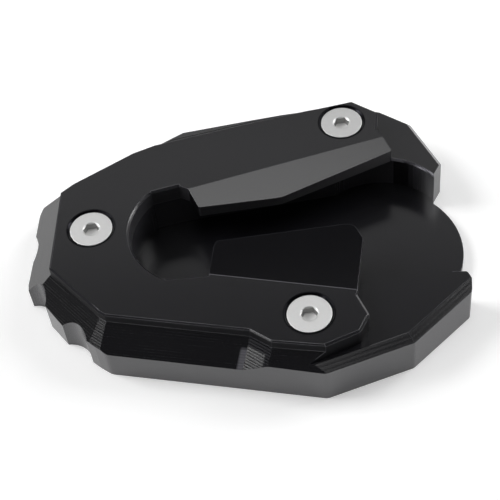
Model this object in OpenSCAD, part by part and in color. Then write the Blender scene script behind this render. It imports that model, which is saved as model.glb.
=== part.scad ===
// Kickstand foot enlarger: a milled base plate with a pocket for the stand's foot,
// and a forked clamp plate held down on it by three countersunk screws.
// Millimetres. Origin at the middle of the footprint on the ground, +X towards the open
// end of the pocket, +Y towards the longer arm of the fork, +Z up.

/* [Footprint] */
// Length from the left scallops to the lobe at the open end
plate_length = 124.2; // [110:0.1:140]
// Width across the two arms
plate_width = 93.4; // [80:0.1:110]

/* [Heights] */
// Height of the two plates together
body_height = 19; // [16:0.5:24]
// Thickness of the forked clamp plate
clamp_thickness = 5.5; // [4.5:0.25:7]
// Thickness of the floor under the stand's foot
floor_thickness = 3; // [2:0.5:5]

/* [Milled shoulder] */
// Upright part of the rim, from the top face down to the shoulder
rim_drop = 3; // [2:0.25:5]
// Slope of the shoulder below the horizontal, on the left side and in front
shoulder_angle = 46; // [30:1:60]
// Slope of the shoulder along the back
back_shoulder_angle = 25; // [15:1:50]
// Broken edge round the top face
edge_break = 0.6; // [0.2:0.1:1]

/* [Open end] */
// Height of the side wall where the shelf's rim is bevelled
shelf_side = 12; // [10:0.5:13]
// Slope of the two front bevels on the shelf
front_bevel_angle = 28; // [15:1:60]
// Slope of the narrow back bevels on the shelf
back_bevel_angle = 50; // [30:1:60]
// Radius of the thin lobe that carries the floor out of the open end
lobe_radius = 24.4; // [22:0.1:24.4]

/* [Pocket] */
// Radius of the round end of the pocket
round_end_radius = 19.5; // [17:0.1:19.5]
// Radius of the seat at the open end
seat_radius = 20.3; // [18:0.1:21]
// Broken edge on the seat's upper rim
seat_break = 0.6; // [0.1:0.1:0.8]

/* [Fork lands] */
// Slope of the long arm's land towards the pocket
long_land_angle = 14; // [5:1:20]
// Slope of the short arm's land towards the pocket
short_land_angle = 7.4; // [3:0.2:12]

/* [Screws] */
// Shank diameter
screw_d = 6; // [5:1:8]
// Head diameter
head_d = 12; // [10:0.5:14]
// Length under the flush face of the head
screw_length = 16; // [12:1:18]
// How far the head sits below the top face
head_recess = 0.3; // [0:0.05:0.6]
// Upright rim of the head
head_rim = 0.4; // [0.2:0.1:0.8]
// Hexagon socket across its flats
socket_af = 4; // [3:0.5:5]
// Depth of the hexagon socket
socket_depth = 2.4; // [2:0.1:3]
// Clearance of the screw in the clamp plate, on the radius
clamp_clearance = 0.3; // [0.1:0.05:0.5]
// Room left for the threads in the base plate, on the radius
thread_clearance = 0.1; // [0.05:0.05:0.2]

/* [Colours] */
// Grey level of the anodised plates
plate_grey = 0.16; // [0.05:0.01:0.5]
// Grey level of the screws
screw_grey = 0.78; // [0.5:0.01:1]

/* [Hidden] */
eps = 0.01;
// Step in height from one shoulder plane to the next, so that no four faces share a point
hair = 0.02;
big = 200;
shelf = body_height - clamp_thickness;
shoulder_top = body_height - rim_drop;
break_top = body_height - edge_break;
head_top = body_height - head_recess;
head_cone = (head_d - screw_d) / 2;

// Outlines are drawn for a footprint of 124.2 by 93.4 and stretched to the one asked for
stretch_x = plate_length / 124.2;
stretch_y = plate_width / 93.4;
function stretched(pts) = [
    for (p = pts)
        len(p) == 3 ? [p[0] * stretch_x, p[1] * stretch_y, p[2]] : [p[0] * stretch_x, p[1] * stretch_y]
];
function flat(p) = [p[0], p[1]];
function unit(v) = v / norm(v);

// Centre of the pocket's round end, and the bounds that give it straight sides by the arms
round_end = [-11.74 * stretch_x, 2.55 * stretch_y];
round_bounds = stretched([
    [-10.2, -14.7], [-16, 18.8], [-32, 16.48], [-40, 16], [-40, -13], [-34.2, -13.18]
]);
seat = [39.7 * stretch_x, 3.4 * stretch_y];
lobe = [plate_length / 2 - lobe_radius, -2.6 * stretch_y];
pocket_front = -20.7;

// Screw centres: left, long arm, short arm
screws = stretched([[-41.8, 7.4], [33.5, 35.1], [14.9, -31.8]]);

// Rim of the clamp plate with the shoulder below it, from the long arm's end round the
// left side to the short arm's end; its tenth corner is the inward one of the step
shouldered = stretched([
    [37.7, 43.2], [9.9, 40.4], [-21.9, 36.4], [-28.4, 34.4], [-46.3, 25.5],
    [-50.2, 22.7], [-53.9, -4.8], [-40.9, -21.8], [-39.2, -23.4], [-1.3, -34.6],
    [3.9, -39.1], [17.6, -42.7]
]);
step_corner = 9;
back_edges = 3;

// The rest of the fork: short arm's end, its land's toe, the channel, the long arm's end
fork_inside = stretched([
    [27.2, -39.7, 2], [30.5, -34.8, 2], [28.2, -27.5, 0], [33, -7.5, 1.5], [31.4, -1.4, 2.5],
    [28.4, -1, 1.5], [-7.2, -2, 0.8], [-8.1, -4, 0], [-10.2, -14.7, 0], [-16.2, -14.32, 0],
    [-17, 0, 0], [-18, 18.51, 0], [-16, 18.8, 0], [-13.5, 17.1, 0.6], [-11.1, 11, 0.8],
    [12.6, 11.3, 8], [46.2, 22.1, 0.6], [43.2, 30, 1.5], [44.6, 37.2, 1.5]
]);

// Edges of the fork that are broken one by one: both arms' ends and the round end's sides
end_edges = [
    stretched([[17.6, -42.7], [27.2, -39.7]]),
    stretched([[27.2, -39.7], [30.5, -34.8]]),
    stretched([[30.5, -34.8], [28.2, -27.5]]),
    stretched([[43.2, 30], [44.6, 37.2]]),
    stretched([[44.6, 37.2], [37.7, 43.2]]),
    stretched([[-10.2, -14.7], [-22.2, -13.94]]),
    stretched([[-24.2, 17.611], [-15.8, 18.829]])
];

// Where the two end walls of the fork run on past the rim, over the shoulder
skirt_outside = stretched([
    [37.7, 43.2], [33.905, 46.5], [-16.7, 45.9], [-20.9, 43.6], [-52.3, 32.6],
    [-61, 20], [-61, -4], [-50, -26], [-40.5, -29.7], [11.84, -44.5], [17.6, -42.7]
]);

// Outer wall of the base plate, with the corner radii
base_rim = stretched([
    [-40.5, -29.7, 4], [16.9, -46.8, 2.5], [41.2, -41, 2], [59.4, -27.1, 2], [60, -23.6, 1],
    [59.2, -21.2, 0.8], [56.8, -20.9, 0], [50, -18, 0], [50, 10, 0], [56.9, 12.5, 0],
    [57.2, 14.9, 0], [60.3, 19.4, 0.8], [54.3, 36.6, 1.5], [46.6, 43.3, 1.5],
    [38.5, 46.7, 0], [-16.8, 46.1, 1.5], [-21.1, 43.9, 2], [-52.3, 32.9, 4], [-58.6, 25.3, 4],
    [-59.9, 17.8, 0],
    [-60.6, 7.4, 0], [-62.1, -0.3, 0], [-62, -2.7, 0], [-56.8, -10.8, 0], [-52.2, -17.9, 0],
    [-43.3, -27.2, 1]
]);

// Three scallops down the left side: centre and radius
scallops = [[-68.7, 12.9, 9.8], [-61.7, -8.2, 5.5], [-52.6, -24.9, 7.1]];

function turn(a) = a > 180 ? a - 360 : (a < -180 ? a + 360 : a);

// One corner of an outline as an arc of the given radius, or as it is when the radius is 0
function corner(a, p, b, r) =
    r == 0 ? [p] :
    let (
        u = unit(a - p),
        v = unit(b - p),
        half = acos(u * v) / 2,
        c = p + unit(u + v) * r / sin(half),
        s = p + u * r / tan(half) - c,
        e = p + v * r / tan(half) - c,
        from = atan2(s[1], s[0]),
        sweep = turn(atan2(e[1], e[0]) - from),
        n = max(2, ceil(abs(sweep) / 12))
    )
    [for (i = [0:n]) c + r * [cos(from + sweep * i / n), sin(from + sweep * i / n)]];

// An outline of [x, y, radius] corners with every corner rounded
function rounded(pts) = [
    for (i = [0:len(pts) - 1])
        let (n = len(pts))
        each corner(
            flat(pts[(i + n - 1) % n]),
            flat(pts[i]),
            flat(pts[(i + 1) % n]),
            pts[i][2] == undef ? 0 : pts[i][2]
        )
];

// All that lies above a plane which holds the line a to b at height h and falls away to
// the right of that line at the given angle
module above(a, b, h, angle) {
    translate([a[0], a[1], h])
        rotate([0, 0, atan2(b[1] - a[1], b[0] - a[0])])
            rotate([angle, 0, 0])
                translate([-big, -big, 0])
                    cube([2 * big, 2 * big, big]);
}

// The same, kept to a strip beside the line
module above_strip(a, b, h, angle) {
    length = norm(b - a);
    translate([a[0], a[1], h])
        rotate([0, 0, atan2(b[1] - a[1], b[0] - a[0])])
            rotate([angle, 0, 0])
                translate([0, -3, 0])
                    cube([length, 6, 6]);
}

// One plane of the rim; the ones along the back fall away at their own angle
module rim_plane(i, h, angle, back_angle) {
    above(shouldered[i], shouldered[i + 1], h + i * hair, i < back_edges ? back_angle : angle);
}

// The shouldered rim as planes; at the step's inward corner the planes meet inside
module rim_planes(h, angle, back_angle) {
    for (i = [0:step_corner - 2])
        rim_plane(i, h, angle, back_angle);
    intersection() {
        rim_plane(step_corner - 1, h, angle, back_angle);
        union() {
            rim_plane(step_corner, h, angle, back_angle);
            rim_plane(step_corner + 1, h, angle, back_angle);
        }
    }
}

// Round end of the pocket, kept between its two straight sides
module round_end_cut(bottom, top, grow_top) {
    intersection() {
        translate([round_end[0], round_end[1], bottom])
            cylinder(h = top - bottom, r1 = round_end_radius, r2 = round_end_radius + grow_top, $fn = 96);
        translate([0, 0, bottom - 1])
            linear_extrude(top - bottom + 2)
                polygon(round_bounds);
    }
}

// The pocket for the stand's foot: round end, widening middle, round seat, open right side
module pocket() {
    depth = shelf - floor_thickness + 1;
    round_end_cut(floor_thickness, floor_thickness + depth, 0);
    translate([0, 0, floor_thickness]) {
        translate([seat[0], seat[1], 0])
            cylinder(h = depth, r = seat_radius, $fn = 128);
        linear_extrude(depth)
            polygon(stretched([
                [-17, 0], [-16.2, -14.32], [-10.2, -14.7], [12, pocket_front], [80, pocket_front],
                [80, 12], [50, 12], [30, 20.8], [-16, 18.8], [-18, 18.51]
            ]));
    }
    translate([seat[0], seat[1], shelf - seat_break])
        cylinder(h = seat_break + eps, r1 = seat_radius, r2 = seat_radius + seat_break + eps, $fn = 128);
}

// Base plate: one milled block with the shelf, the bevelled rims, the pocket and the floor's lobe
module base_plate() {
    color([plate_grey, plate_grey, plate_grey + 0.01])
        difference() {
            union() {
                linear_extrude(shelf)
                    polygon(rounded(base_rim));
                translate([lobe[0], lobe[1], 0])
                    cylinder(h = floor_thickness, r = lobe_radius, $fn = 144);
            }
            rim_planes(shoulder_top, shoulder_angle, back_shoulder_angle);
            for (i = [1:2])
                above(base_rim[i], base_rim[i + 1], shelf_side, front_bevel_angle);
            for (i = [11:13])
                above(base_rim[i], base_rim[i + 1], shelf_side - i * hair, back_bevel_angle);
            for (s = scallops)
                translate([s[0], s[1], -1])
                    cylinder(h = shelf + 2, r = s[2], $fn = 96);
            pocket();
            for (p = screws)
                translate([p[0], p[1], -1])
                    cylinder(h = shelf + 2, r = screw_d / 2 + thread_clearance, $fn = 48);
        }
}

// Clamp plate: the fork over the pocket, with its shoulder, its two lands and the screw seats
module clamp_plate() {
    long_line = [[-13.3, 17.2], [42.4, 26.7]];
    short_line = [[27.9, -26.2], [-10.1, -14.5]];
    color([plate_grey - 0.02, plate_grey - 0.02, plate_grey])
        difference() {
            union() {
                translate([0, 0, shelf])
                    linear_extrude(clamp_thickness)
                        polygon(rounded(concat(shouldered, fork_inside)));
                difference() {
                    translate([0, 0, shelf])
                        linear_extrude(shoulder_top - shelf + 0.5)
                            polygon(rounded(concat(skirt_outside, fork_inside)));
                    rim_planes(shoulder_top, shoulder_angle, back_shoulder_angle);
                }
            }
            round_end_cut(shelf - 1, body_height + 1, 0);
            round_end_cut(break_top, body_height + eps, edge_break + eps);
            intersection() {
                above(long_line[0], long_line[1], body_height, long_land_angle);
                translate([-15, 5, shelf])
                    cube([70, 30, clamp_thickness + 1]);
            }
            intersection() {
                above(short_line[0], short_line[1], body_height, short_land_angle);
                translate([-12, -30, shelf])
                    cube([60, 33, clamp_thickness + 1]);
            }
            rim_planes(break_top, 45, 45);
            for (e = end_edges)
                above_strip(e[0], e[1], break_top - hair, 45);
            for (p = screws)
                translate([p[0], p[1], 0])
                    screw_seat();
        }
}

// Hole in the clamp plate for one screw: clearance below, the head's own cone above
module screw_seat() {
    cone_foot = head_top - head_rim - head_cone;
    top_r = screw_d / 2 + body_height - cone_foot;
    translate([0, 0, shelf - 1])
        cylinder(h = clamp_thickness, r = screw_d / 2 + clamp_clearance, $fn = 48);
    translate([0, 0, cone_foot])
        cylinder(h = body_height - cone_foot + 1, r1 = screw_d / 2, r2 = top_r + 1, $fn = 64);
}

// One countersunk screw with a hexagon socket
module screw() {
    cone_foot = head_top - head_rim - head_cone;
    tip = head_top - screw_length;
    difference() {
        union() {
            translate([0, 0, head_top - head_rim])
                cylinder(h = head_rim, r = head_d / 2, $fn = 64);
            translate([0, 0, cone_foot])
                cylinder(h = head_cone, r1 = screw_d / 2, r2 = head_d / 2, $fn = 64);
            translate([0, 0, tip + 0.8])
                cylinder(h = cone_foot - tip - 0.8, r = screw_d / 2, $fn = 48);
            translate([0, 0, tip])
                cylinder(h = 0.8, r1 = screw_d / 2 - 0.8, r2 = screw_d / 2, $fn = 48);
        }
        translate([0, 0, head_top - socket_depth])
            cylinder(h = socket_depth + 1, r = socket_af / 2 / cos(30), $fn = 6);
        translate([0, 0, head_top - 0.45])
            cylinder(h = 0.45 + eps, r1 = socket_af / 2, r2 = socket_af / 2 + 0.45 + eps, $fn = 48);
    }
}

// Screws: the same countersunk screw at each of the three places
module clamp_screws() {
    color([screw_grey, screw_grey, screw_grey - 0.01])
        for (p = screws)
            translate([p[0], p[1], 0])
                screw();
}

base_plate();
clamp_plate();
clamp_screws();
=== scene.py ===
import math

import bpy
from mathutils import Matrix, Vector


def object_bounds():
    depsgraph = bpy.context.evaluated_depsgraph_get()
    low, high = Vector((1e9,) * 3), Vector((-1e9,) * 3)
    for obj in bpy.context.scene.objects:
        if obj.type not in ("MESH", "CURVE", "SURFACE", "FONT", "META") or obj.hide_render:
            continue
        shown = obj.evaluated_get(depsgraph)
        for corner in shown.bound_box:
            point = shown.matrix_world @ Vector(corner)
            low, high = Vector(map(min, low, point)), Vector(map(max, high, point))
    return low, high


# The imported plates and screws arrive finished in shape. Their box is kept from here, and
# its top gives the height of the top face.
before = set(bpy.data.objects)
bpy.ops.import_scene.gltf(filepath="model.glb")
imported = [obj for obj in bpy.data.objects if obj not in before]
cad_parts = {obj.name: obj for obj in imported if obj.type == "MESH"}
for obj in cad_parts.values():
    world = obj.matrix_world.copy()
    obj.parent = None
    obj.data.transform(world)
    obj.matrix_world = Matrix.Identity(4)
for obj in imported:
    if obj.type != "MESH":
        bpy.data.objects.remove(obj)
packed_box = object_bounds()
bpy.ops.object.select_all(action="DESELECT")

# Base plate: one block of aluminium, milled all round with a sloping shoulder and pocketed
# for the stand's foot, then anodised satin black. The cutter's passes run level round the
# block and leave fine lines on its slopes, and the open edges are paler, partly as dye rubbed
# thin and partly as painted highlight.
MM = 0.001

# Heights in millimetres above the ground: the top face, the foot of its broken edge, the
# shelf where the two plates meet, and the floor of the pocket
TOP = packed_box[1][2] / MM
BREAK_FOOT = TOP - 0.6
SHELF = 13.5
POCKET_FLOOR = 3.0

BLACK_DYE = (0.0044, 0.0043, 0.0060, 1.0)
WEAR_AND_SHEEN_DYE = (0.30, 0.295, 0.33, 1.0)
DYE_CLOUDS = 0.006
SATIN = 0.24
SATIN_SPREAD = 0.02
LAND_POLISH = -0.06
DULLED = 0.42
GRAIN_SCALE = 5200
CLOUD_SCALE = 55

# How level a face lies, from 0 for a wall to 1 for the top. Walls fade in from the first
# value to the second, and the others give their lowest, their highest and a soft border.
WALLS = (0.35, 0.15)
SLOPES = (0.45, 0.90, 0.04)
LANDS = (0.955, 0.995, 0.002)
SHORT_LAND = (0.985, 0.994, 0.001)
# How far a slope turns to the left, in the same way
TURNED_IN = (0.36, 0.56, 0.03)

MILL_PITCH = 0.55 * MM
LINE_DEPTH = 0.014 * MM
DRIFT_SCALE = 90
DRIFT_RADIANS = 3.0
LINE_STRETCH = (45, 45, 2600)
LINE_DEPTHS = (0.38, 0.68, 0.12, 1.0)
FRONT_LINES = 0.35
# The lines' tint is partly their own mark and partly painted glints
LINE_AND_GLINT_TINT = 0.02
LINE_ROUGH = 0.09
GRAIN_RELIEF = 0.15

EDGE_ROUND = 0.22 * MM
CORNER_BEND = (0.985, 0.90)
FAINT_BEND = (0.9995, 0.9985)
FAINT_WEAR_AND_GLINT = 0.30
WEAR_AND_GLINT = (0.15, 0.48)
SPARED = 0.85

# The share of the shine taken off the faces that are dark in the photograph, set by
# comparing renders with it
LEFT_SLOPE_SHADE = 0.45
BACK_SLOPE_SHADE = 0.72
BREAK_SHADE = 0.92
SHORT_LAND_SHADE = 0.45
STEP_SHADE = 0.85

# Screw places in millimetres from the middle of the footprint, the radius of their seats
# at the top face, and rings round them for a painted shadow round each head and for sparing wear
SCREW_CENTRES = ((-41.8, 7.4), (33.5, 35.1), (14.9, -31.8))
SEAT = 6.7
SEAT_RING = (SEAT + 0.4, SEAT + 0.2)
DARK_RING = (SEAT + 0.4, SEAT + 0.1)
SPARED_RING = (SEAT + 0.7, SEAT + 0.5)

# The ridge where the front slope turns inwards at the step, and a painted highlight patch
# across it. The step's facet starts a little too far right, so the painted highlight is
# carried over the front slope.
RIDGE_LEAN = 0.463
RIDGE_FOOT = (-4.5 - RIDGE_LEAN * 9.4) * MM
HIGHLIGHT_STRIP = (-1.3 * MM, -0.1 * MM, 0.6 * MM)
PATCH_END = (3.9 * MM, 4.3 * MM)
PATCH_HIGHLIGHT_TINT = 0.52


def node(tree, kind, **settings):
    made = tree.nodes.new(kind)
    for name, value in settings.items():
        setattr(made, name, value)
    return made


def link(tree, source, target):
    tree.links.new(source, target)


def value_math(tree, operation, first, second=None, third=None):
    step = node(tree, "ShaderNodeMath", operation=operation)
    for i, term in enumerate((first, second, third)):
        if term is None:
            continue
        if isinstance(term, (int, float)):
            step.inputs[i].default_value = term
        else:
            link(tree, term, step.inputs[i])
    return step.outputs[0]


def product(tree, first, *others):
    for term in others:
        first = value_math(tree, "MULTIPLY", first, term)
    return first


def largest(tree, first, *others):
    for term in others:
        first = value_math(tree, "MAXIMUM", first, term)
    return first


def map_value(tree, source, low, high, out_low, out_high):
    step = node(tree, "ShaderNodeMapRange")
    link(tree, source, step.inputs["Value"])
    step.inputs["From Min"].default_value = low
    step.inputs["From Max"].default_value = high
    step.inputs["To Min"].default_value = out_low
    step.inputs["To Max"].default_value = out_high
    return step.outputs["Result"]


def fade_in(tree, source, start, full_at, full=1.0):
    return map_value(tree, source, start, full_at, 0.0, full)


def past(tree, place, axis, start, full_at, full=1.0):
    return fade_in(tree, place.outputs[axis], start * MM, full_at * MM, full)


def within(tree, distance, ring, full=1.0):
    return fade_in(tree, distance, ring[0] * MM, ring[1] * MM, full)


def between(tree, source, low, high, width):
    rise = fade_in(tree, source, low - width, low)
    fall = fade_in(tree, source, high + width, high)
    return product(tree, rise, fall)


def outside_of(tree, zone):
    return value_math(tree, "SUBTRACT", 1.0, zone)


def dot(tree, first, second):
    step = node(tree, "ShaderNodeVectorMath", operation="DOT_PRODUCT")
    link(tree, first, step.inputs[0])
    link(tree, second, step.inputs[1])
    return step.outputs["Value"]


def split(tree, vector):
    parts = node(tree, "ShaderNodeSeparateXYZ")
    link(tree, vector, parts.inputs[0])
    return parts


def noise(tree, coords, scale, detail=3.0, roughness=0.5):
    step = node(tree, "ShaderNodeTexNoise")
    step.inputs["Scale"].default_value = scale
    step.inputs["Detail"].default_value = detail
    step.inputs["Roughness"].default_value = roughness
    link(tree, coords, step.inputs["Vector"])
    return step.outputs["Fac"]


def mixed_colour(tree, share, first, second):
    step = node(tree, "ShaderNodeMix", data_type="RGBA")
    link(tree, share, step.inputs["Factor"])
    for socket, colour in (("A", first), ("B", second)):
        if isinstance(colour, tuple):
            step.inputs[socket].default_value = colour
        else:
            link(tree, colour, step.inputs[socket])
    return step.outputs["Result"]


def rounded_normal(tree, radius):
    step = node(tree, "ShaderNodeBevel", samples=6)
    step.inputs["Radius"].default_value = radius
    return step.outputs["Normal"]


def set_relief(tree, shader, height, strength, depth, normal):
    bump = node(tree, "ShaderNodeBump")
    bump.inputs["Strength"].default_value = strength
    bump.inputs["Distance"].default_value = depth
    link(tree, height, bump.inputs["Height"])
    link(tree, normal, bump.inputs["Normal"])
    link(tree, bump.outputs["Normal"], shader.inputs["Normal"])


def blank_finish(name):
    material = bpy.data.materials.new(name)
    material.use_nodes = True
    tree = material.node_tree
    tree.nodes.clear()
    shader = node(tree, "ShaderNodeBsdfPrincipled")
    out = node(tree, "ShaderNodeOutputMaterial")
    link(tree, shader.outputs["BSDF"], out.inputs["Surface"])
    return material, tree, shader


def screw_distance(tree, coords):
    flat = node(tree, "ShaderNodeVectorMath", operation="MULTIPLY")
    flat.inputs[1].default_value = (1, 1, 0)
    link(tree, coords, flat.inputs[0])
    nearest = None
    for x, y in SCREW_CENTRES:
        away = node(tree, "ShaderNodeVectorMath", operation="DISTANCE")
        away.inputs[1].default_value = (x * MM, y * MM, 0)
        link(tree, flat.outputs[0], away.inputs[0])
        gap = away.outputs["Value"]
        nearest = gap if nearest is None else value_math(tree, "MINIMUM", nearest, gap)
    return nearest


def cutter_lines(tree, coords, height, sloped, turned_in):
    drift = product(tree, noise(tree, coords, DRIFT_SCALE, 1.0), DRIFT_RADIANS)
    turns = value_math(tree, "MULTIPLY_ADD", height, 2 * math.pi / MILL_PITCH, drift)
    drawn = node(tree, "ShaderNodeMapping")
    drawn.inputs["Scale"].default_value = LINE_STRETCH
    link(tree, coords, drawn.inputs["Vector"])
    patchy = noise(tree, drawn.outputs["Vector"], 1.0, 2.0)
    depth = map_value(tree, patchy, *LINE_DEPTHS)
    deeper = map_value(tree, turned_in, 0.0, 1.0, FRONT_LINES, 1.0)
    return product(tree, value_math(tree, "SINE", turns), depth, deeper, sloped)


def shaded_breaks(tree, place, leftward, sloped):
    on_left = product(
        tree, fade_in(tree, leftward, 0.25, 0.30), past(tree, place, "X", -36, -38))
    on_long_arm = product(
        tree, fade_in(tree, leftward, -0.30, -0.35), past(tree, place, "Y", 15, 18))
    broken = past(tree, place, "Z", BREAK_FOOT, BREAK_FOOT + 0.05, BREAK_SHADE)
    return product(tree, broken, sloped, largest(tree, on_left, on_long_arm))


# The patch across the step is a painted highlight, streaked along the cutter's lines
def painted_step_highlight(tree, place, from_ridge, sloped, turned_in, lines):
    strip = between(tree, from_ridge, *HIGHLIGHT_STRIP)
    front = past(tree, place, "Y", -28, -30)
    lower = past(tree, place, "Z", SHELF + 0.5, SHELF - 0.3)
    front_slope = value_math(tree, "SUBTRACT", sloped, turned_in)
    streaks = map_value(tree, lines, -0.25, 0.25, 0.55, 1.0)
    return largest(tree, product(tree, strip, front, lower, front_slope, streaks), 0.0)


def beside_patch(tree, place, from_ridge, turned_in):
    above = between(
        tree, place.outputs["Z"], (SHELF + 0.9) * MM, (TOP - 0.8) * MM, 0.2 * MM)
    past_it = fade_in(tree, from_ridge, *PATCH_END)
    at_step = past(tree, place, "X", -12, -10, STEP_SHADE)
    return product(tree, largest(tree, above, past_it), at_step, turned_in)


def black_anodised(name, wall, edge_zone, highlight_zone):
    material, tree, shader = blank_finish(name)
    coords = node(tree, "ShaderNodeTexCoord").outputs["Object"]
    geometry = node(tree, "ShaderNodeNewGeometry")
    flat_normal = geometry.outputs["True Normal"]
    place = split(tree, coords)
    facing = split(tree, flat_normal)
    level = value_math(tree, "ABSOLUTE", facing.outputs["Z"])
    leftward = product(tree, facing.outputs["X"], -1.0)
    sloped = between(tree, level, *SLOPES)
    turned_in = between(tree, leftward, *TURNED_IN)
    upright = fade_in(tree, level, *WALLS)
    outer = fade_in(tree, dot(tree, coords, flat_normal), 0.0, 2 * MM)
    from_screw = screw_distance(tree, coords)
    ridge = value_math(tree, "MULTIPLY_ADD", place.outputs["Z"], -RIDGE_LEAN, -RIDGE_FOOT)
    from_ridge = value_math(tree, "ADD", place.outputs["X"], ridge)
    lines = cutter_lines(tree, coords, place.outputs["Z"], sloped, turned_in)
    grain = noise(tree, coords, GRAIN_SCALE, 2.0, 0.6)
    clouds = noise(tree, coords, CLOUD_SCALE, 4.0, 0.6)

    # Corners rounded by a hair where they catch the light
    left_front = product(
        tree, past(tree, place, "X", -41, -43, SPARED), past(tree, place, "Y", -4, -6))
    eased = node(tree, "ShaderNodeMix", data_type="VECTOR")
    open_edges = product(tree, edge_zone(tree, place), outside_of(tree, left_front))
    link(tree, open_edges, eased.inputs["Factor"])
    link(tree, geometry.outputs["Normal"], eased.inputs[4])
    link(tree, rounded_normal(tree, EDGE_ROUND), eased.inputs[5])
    eased_normal = eased.outputs[1]

    # The dye is rubbed thin on those corners, and they carry a painted highlight, but not on the
    # shaded breaks and back slope, at the left front, at the long arm's end or round the screws
    bend = dot(tree, eased_normal, flat_normal)
    edge = largest(
        tree, fade_in(tree, bend, *CORNER_BEND), fade_in(tree, bend, *FAINT_BEND, FAINT_WEAR_AND_GLINT))
    broken = shaded_breaks(tree, place, leftward, sloped)
    back_slope = product(
        tree, fade_in(tree, facing.outputs["Y"], 0.30, 0.36, BACK_SLOPE_SHADE), sloped)
    dull = largest(tree, broken, back_slope)
    long_end = product(
        tree, past(tree, place, "X", 40, 41, SPARED), past(tree, place, "Z", TOP - 2.0, TOP - 1.5))
    by_screw = within(tree, from_screw, SPARED_RING)
    quiet = largest(tree, left_front, long_end, dull, by_screw)
    wear_and_glint = product(
        tree, edge, map_value(tree, clouds, 0.35, 0.65, *WEAR_AND_GLINT), outside_of(tree, quiet))

    # Dye: black, greyer in clouds and on the corners, there partly worn and partly a painted
    # highlight. Painted light greys the walls and the highlight zone of each plate, and the patch
    # at the step is a painted highlight. The lines are greyed partly as their own marks, partly as
    # painted glints.
    wall_light = map_value(tree, outer, 0.0, 1.0, wall["inner_light"], wall["outer_light"])
    step_highlight = painted_step_highlight(tree, place, from_ridge, sloped, turned_in, lines)
    shade = value_math(
        tree, "ADD", wear_and_glint, fade_in(tree, clouds, 0.3, 0.7, DYE_CLOUDS))
    shade = value_math(tree, "MULTIPLY_ADD", upright, wall_light, shade)
    shade = value_math(tree, "ADD", shade, highlight_zone(tree, place, sloped))
    shade = value_math(tree, "MULTIPLY_ADD", lines, LINE_AND_GLINT_TINT, shade)
    shade = value_math(tree, "MULTIPLY_ADD", step_highlight, PATCH_HIGHLIGHT_TINT, shade)
    shade = largest(tree, shade, 0.0)
    link(tree, mixed_colour(tree, shade, BLACK_DYE, WEAR_AND_SHEEN_DYE), shader.inputs["Base Color"])

    # Satin, smoother on the skimmed lands, rougher on the clamp plate's walls, in the lines
    # and where it is dulled
    rough = map_value(tree, grain, 0.3, 0.7, SATIN - SATIN_SPREAD, SATIN + SATIN_SPREAD)
    rough = value_math(tree, "MULTIPLY_ADD", between(tree, level, *LANDS), LAND_POLISH, rough)
    rough = value_math(tree, "MULTIPLY_ADD", upright, wall["rough"], rough)
    rough = value_math(tree, "MULTIPLY_ADD", lines, LINE_ROUGH, rough)
    rough = value_math(tree, "MULTIPLY_ADD", dull, DULLED, rough)
    link(tree, rough, shader.inputs["Roughness"])

    # A metal as black as the dye has hardly any shine, so it keeps the shaded faces dark
    short_land = product(tree, between(tree, level, *SHORT_LAND), SHORT_LAND_SHADE)
    wall_shade = map_value(tree, outer, 0.0, 1.0, wall["inner_shade"], wall["outer_shade"])
    dark = value_math(tree, "MULTIPLY_ADD", upright, wall_shade, short_land)
    # Painted shadow darkens the seat's cone and a ring of the top face round each head
    seats = product(tree, within(tree, from_screw, SEAT_RING), sloped)
    ring = within(tree, from_screw, DARK_RING, BREAK_SHADE)
    left_slope = product(tree, fade_in(tree, leftward, 0.53, 0.58, LEFT_SLOPE_SHADE), sloped)
    step = beside_patch(tree, place, from_ridge, turned_in)
    dark = largest(tree, dark, seats, ring, broken, back_slope, left_slope, step)
    link(tree, dark, shader.inputs["Metallic"])
    shader.inputs["Specular IOR Level"].default_value = 1.0

    relief = value_math(tree, "MULTIPLY_ADD", grain, GRAIN_RELIEF, lines)
    set_relief(tree, shader, relief, 1.0, LINE_DEPTH, eased_normal)
    return material


def dress(name, material):
    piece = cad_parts[name]
    piece.data.materials.clear()
    piece.data.materials.append(material)
    return piece


def base_edges(tree, place):
    open_end = past(tree, place, "X", 29, 30)
    above_floor = past(tree, place, "Z", POCKET_FLOOR + 0.6, POCKET_FLOOR + 1.0)
    at_tip = past(tree, place, "X", 56.8, 57.0)
    pocket_front = product(
        tree, between(tree, place.outputs["Y"], -21.7 * MM, -19.7 * MM, 0.2 * MM),
        past(tree, place, "X", 56, 55))
    kept = product(tree, largest(tree, above_floor, at_tip), open_end)
    return product(tree, kept, outside_of(tree, pocket_front))


# A painted highlight along the rim of the seat on the shelf, at the right of the base plate
def seat_rim(tree, place, sloped):
    return product(
        tree, past(tree, place, "Z", SHELF - 0.65, SHELF - 0.55),
        past(tree, place, "X", 40, 46, 0.40), past(tree, place, "Y", 0, 2), sloped)


# A wall's tint is painted reflected light, and its shade is a metallic darkening
BASE_WALL = {
    "inner_light": 0.13, "outer_light": 0.13, "rough": 0.0,
    "inner_shade": 0.10, "outer_shade": 0.10,
}
dress("base_plate", black_anodised("anodised_base", BASE_WALL, base_edges, seat_rim))

# Clamp plate: the fork that is screwed down over the stand's foot, cut from thinner plate
# with the same sloping shoulder and anodised in the same bath. Its two lands are skimmed at
# a slope towards the channel, and a thin painted highlight runs along the short arm's land.
CLAMP_WALL = {
    "inner_light": 0.11, "outer_light": 0.0, "rough": 0.30,
    "inner_shade": 0.0, "outer_shade": 0.90,
}
SHORT_LAND_EDGE = ((27.9, -26.2), (-10.1, -14.5))
# Half width, fade and tint of the painted highlight line along the short land, then the tint of
# the faint painted highlight on the top break
LAND_GLINT_HALF = 0.12 * MM
LAND_GLINT_FADE = 0.08 * MM
LAND_GLINT_TINT = 0.26
BREAK_HIGHLIGHT_TINT = 0.04


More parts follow.
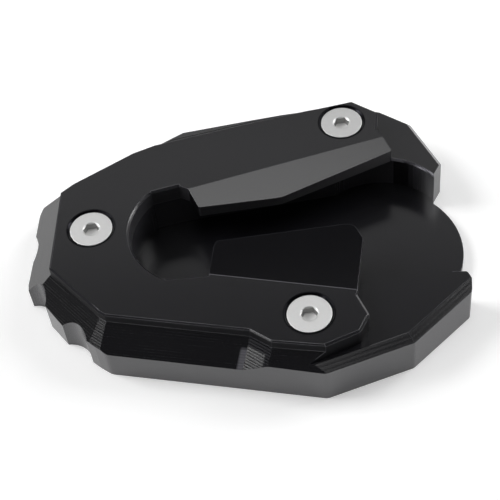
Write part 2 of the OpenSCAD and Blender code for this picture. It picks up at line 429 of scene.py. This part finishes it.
def clamp_edges(tree, place):
    return past(tree, place, "Z", SHELF + 0.8, SHELF + 1.2)


def short_land_glint(tree, place):
    (ax, ay), (bx, by) = SHORT_LAND_EDGE
    length = math.hypot(bx - ax, by - ay)
    nx, ny = (by - ay) / length, (ax - bx) / length
    start = -(ax * nx + ay * ny) * MM
    off = value_math(tree, "MULTIPLY_ADD", place.outputs["X"], nx, start)
    off = value_math(tree, "MULTIPLY_ADD", place.outputs["Y"], ny, off)
    return product(
        tree, between(tree, off, -LAND_GLINT_HALF, LAND_GLINT_HALF, LAND_GLINT_FADE),
        between(tree, place.outputs["X"], bx * MM, ax * MM, MM),
        past(tree, place, "Z", TOP - 0.4, TOP - 0.2, LAND_GLINT_TINT))


# Painted highlights: a faint one on the top break and a thin line along the short arm's land
def break_and_land_glint(tree, place, sloped):
    top_break = past(tree, place, "Z", BREAK_FOOT, BREAK_FOOT + 0.1, BREAK_HIGHLIGHT_TINT)
    rim = product(tree, top_break, sloped)
    return value_math(tree, "ADD", rim, short_land_glint(tree, place))


dress("clamp_plate", black_anodised("anodised_clamp", CLAMP_WALL, clamp_edges, break_and_land_glint))

# Screws: three stainless countersunk screws with a hexagon socket, cold headed and
# tumbled bright. They pull the fork down through its cone seats into the base plate's threads.
STEEL = (0.93, 0.93, 0.925, 1.0)
STEEL_CLOUD = (0.90, 0.90, 0.895, 1.0)
# Painted shade on the socket's walls and painted light on its bottom
SOCKET_WALL_SHADE = (0.42, 0.42, 0.415, 1.0)
SOCKET_BOTTOM_LIGHT = (0.97, 0.97, 0.965, 1.0)
STEEL_ROUGH = (0.50, 0.54)
STEEL_GRAIN_DEPTH = 0.006 * MM
HEAD_TOP = TOP - 0.3
HEAD_ROUND = 0.30 * MM
STEEL_GRAIN = 3200
STEEL_CLOUDS = 420


def bright_steel(name):
    material, tree, shader = blank_finish(name)
    coords = node(tree, "ShaderNodeTexCoord").outputs["Object"]
    flat_normal = node(tree, "ShaderNodeNewGeometry").outputs["True Normal"]
    level = value_math(tree, "ABSOLUTE", split(tree, flat_normal).outputs["Z"])
    sunk = past(tree, split(tree, coords), "Z", HEAD_TOP - 0.2, HEAD_TOP - 0.3)
    # The socket's walls and bottom, which carry its painted shade and painted light
    socket_shade = product(tree, fade_in(tree, level, 0.50, 0.30), sunk)
    socket_light = product(tree, fade_in(tree, level, 0.9, 0.95), sunk)
    grain = noise(tree, coords, STEEL_GRAIN, 2.0)
    clouds = noise(tree, coords, STEEL_CLOUDS, 3.0)

    colour = mixed_colour(tree, fade_in(tree, clouds, 0.4, 0.7), STEEL, STEEL_CLOUD)
    colour = mixed_colour(tree, socket_shade, colour, SOCKET_WALL_SHADE)
    colour = mixed_colour(tree, socket_light, colour, SOCKET_BOTTOM_LIGHT)
    link(tree, colour, shader.inputs["Base Color"])
    link(tree, map_value(tree, clouds, 0.3, 0.7, *STEEL_ROUGH), shader.inputs["Roughness"])
    metal = value_math(tree, "MULTIPLY_ADD", socket_light, -0.9, 1.0)
    link(tree, metal, shader.inputs["Metallic"])
    soft = rounded_normal(tree, HEAD_ROUND)
    set_relief(tree, shader, grain, 0.3, STEEL_GRAIN_DEPTH, soft)
    return material


dress("clamp_screws", bright_steel("bright_steel"))

# Studio: the part lies on a plain white sheet. Two soft lamps stand behind it to the left and
# right, one hangs overhead, a strip stands behind, and a small lamp in front on the left. The
# surround is pale at table height and dim above, and the camera alone sees it plain white.
FLOOR_SIZE = 6.0
SHEET = (0.86, 0.86, 0.86, 1.0)
SHEET_GLOW = 0.32
ROOM_LOW = 0.85
ROOM_HIGH = 0.04
LAMPS = (
    ("left_lamp", (-1.44, 0.50, 1.30), 1.0, 1.0, 25.0),
    ("right_lamp", (1.50, 0.62, 1.17), 1.0, 1.0, 19.0),
    ("overhead_lamp", (0.0, -0.05, 2.0), 1.1, 1.45, 7.9),
    ("back_strip", (0.1, 1.36, 1.46), 2.6, 0.28, 1.4),
    ("left_spot", (-1.65, -0.66, 0.92), 0.32, 0.32, 1.6),
)

bpy.ops.mesh.primitive_plane_add(size=FLOOR_SIZE, location=(0, 0, 0))
floor = bpy.context.object
floor.name = "studio_floor"
sheet, tree, shader = blank_finish("white_sheet")
shader.inputs["Base Color"].default_value = SHEET
shader.inputs["Roughness"].default_value = 0.9
glow = node(tree, "ShaderNodeEmission")
path = node(tree, "ShaderNodeLightPath")
seen = largest(tree, path.outputs["Is Camera Ray"], path.outputs["Is Glossy Ray"])
link(tree, product(tree, seen, SHEET_GLOW), glow.inputs["Strength"])
both = node(tree, "ShaderNodeAddShader")
link(tree, shader.outputs["BSDF"], both.inputs[0])
link(tree, glow.outputs["Emission"], both.inputs[1])
out = next(n for n in tree.nodes if n.type == "OUTPUT_MATERIAL")
link(tree, both.outputs["Shader"], out.inputs["Surface"])
floor.data.materials.append(sheet)

world = bpy.data.worlds.new("studio_room")
bpy.context.scene.world = world
world.use_nodes = True
tree = world.node_tree
tree.nodes.clear()
path = node(tree, "ShaderNodeLightPath")
heading = split(tree, node(tree, "ShaderNodeTexCoord").outputs["Generated"])
room = map_value(tree, heading.outputs["Z"], 0.00, 0.12, ROOM_LOW, ROOM_HIGH)
sky = node(tree, "ShaderNodeBackground")
link(tree, largest(tree, room, path.outputs["Is Camera Ray"]), sky.inputs["Strength"])
sky.inputs["Color"].default_value = (1, 1, 1, 1)
out = node(tree, "ShaderNodeOutputWorld")
link(tree, sky.outputs["Background"], out.inputs["Surface"])

for name, place, wide, deep, watts in LAMPS:
    bpy.ops.object.light_add(type="AREA", location=place)
    lamp = bpy.context.object
    lamp.name = name
    lamp.data.shape = "RECTANGLE"
    lamp.data.size = wide
    lamp.data.size_y = deep
    lamp.data.energy = watts
    lamp.rotation_euler = (-lamp.location).to_track_quat("-Z", "Y").to_euler()

# Camera: the photograph's own viewpoint, solved from the plates' level faces and the round
# screw heads. It looks down 51 degrees with a slight roll.
CAMERA_PLACE = Vector((1.7, -230.4, 296.9)) * MM
PITCH = math.radians(51.35)
ROLL = math.radians(7.8)
LENS = 93.6
SENSOR = 36.0
NEAREST = 0.01
FARTHEST = 20.0

forward = Vector((0, math.cos(PITCH), -math.sin(PITCH)))
across = Vector((1, 0, 0))
down = Vector((0, -math.sin(PITCH), -math.cos(PITCH)))
right = math.cos(ROLL) * across + math.sin(ROLL) * down
below = math.cos(ROLL) * down - math.sin(ROLL) * across
bpy.ops.object.camera_add()
camera = bpy.context.object
camera.name = "photo_camera"
camera.data.lens = LENS
camera.data.sensor_width = SENSOR
camera.data.clip_start = NEAREST
camera.data.clip_end = FARTHEST
turned = Matrix((right, -below, -forward)).transposed().to_4x4()
camera.matrix_world = Matrix.Translation(CAMERA_PLACE) @ turned
bpy.context.scene.camera = camera
bpy.context.scene.view_settings.view_transform = "Standard"
